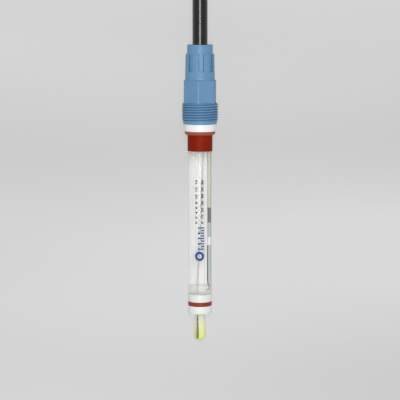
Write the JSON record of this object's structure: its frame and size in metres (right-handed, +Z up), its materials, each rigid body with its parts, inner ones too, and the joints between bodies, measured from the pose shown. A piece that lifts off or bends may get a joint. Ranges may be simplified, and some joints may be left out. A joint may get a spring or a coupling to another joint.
{
  "type": "ph electrode",
  "caption": "Combination pH electrode with a threaded process head, a glass shaft and bulb, and a fixed cable with a bayonet coax plug.",
  "frame": {"origin": "middle of the electrode without its cable, on the bench that it lies on", "axes": "+Z up from the bench; +Y along the electrode, from the bulb to the head and the cable; +X to the right as seen in the picture"},
  "size_m": [0.0659, 0.4248, 0.0206],
  "materials": {
    "head_plastic": "satin moulded blue",
    "potting_resin": "cast",
    "white_plastic": "satin",
    "seal_rubber": "satin orange-red",
    "sleeve_plastic": "shrunk on",
    "shaft_glass": "clear",
    "stopper_rubber": "matt",
    "sensing_glass": "clear",
    "buffer_liquid": "clear yellow-green",
    "dark_element": "matt",
    "beige_lead": "satin",
    "clear_gel": "clear",
    "reference_glass": "clear",
    "grey_gel": "satin",
    "white_fibre": "matt",
    "silver_wire": "dull",
    "clear_resin": "translucent",
    "junction_rubber": "satin red-brown",
    "cable_jacket": "satin black",
    "tie_strap": "matt",
    "boot_rubber": "satin black",
    "nickel_plate": "bright nickel",
    "insulator_plastic": "satin",
    "gilt_contact": "gilt",
    "gasket_rubber": "matt",
    "spring_steel": "satin"
  },
  "bodies": {
    "electrode": {"head_cap": "head_plastic", "head_potting": "potting_resin", "thrust_washer": "white_plastic", "seal_ring": "seal_rubber", "shaft_sleeve": "sleeve_plastic", "shaft_tube": "shaft_glass", "stem_stopper": "stopper_rubber", "bulb_stem": "sensing_glass", "buffer_fill": "buffer_liquid", "inner_element": "dark_element", "inner_lead": "beige_lead", "electrolyte_gel": "clear_gel", "reference_tube": "reference_glass", "reference_lead": "beige_lead", "reference_cartridge": "dark_element", "reference_gel": "grey_gel", "reference_wick": "white_fibre", "reference_wire": "silver_wire", "bottom_plug": "clear_resin", "junction_holder": "white_plastic", "junction_seal": "junction_rubber", "junction_collar": "white_plastic", "cable_lead": "cable_jacket", "cable_hank": "cable_jacket", "cable_tail": "cable_jacket", "hank_ties": "tie_strap", "cable_boot": "boot_rubber", "crimp_ferrule": "nickel_plate", "plug_body": "nickel_plate", "plug_insulator": "insulator_plastic", "centre_pin": "gilt_contact", "plug_gasket": "gasket_rubber", "retaining_ring": "spring_steel", "wave_washer": "spring_steel"},
    "coupling_nut": {"bayonet_nut": "nickel_plate"}
  },
  "joints": [
    {"name": "nut_turn", "type": "hinge", "parent": "electrode", "child": "coupling_nut", "pos_m": [0.0254, 0.16506, 0.00725], "axis": [0, -1, 0], "continuous": true}
  ]
}
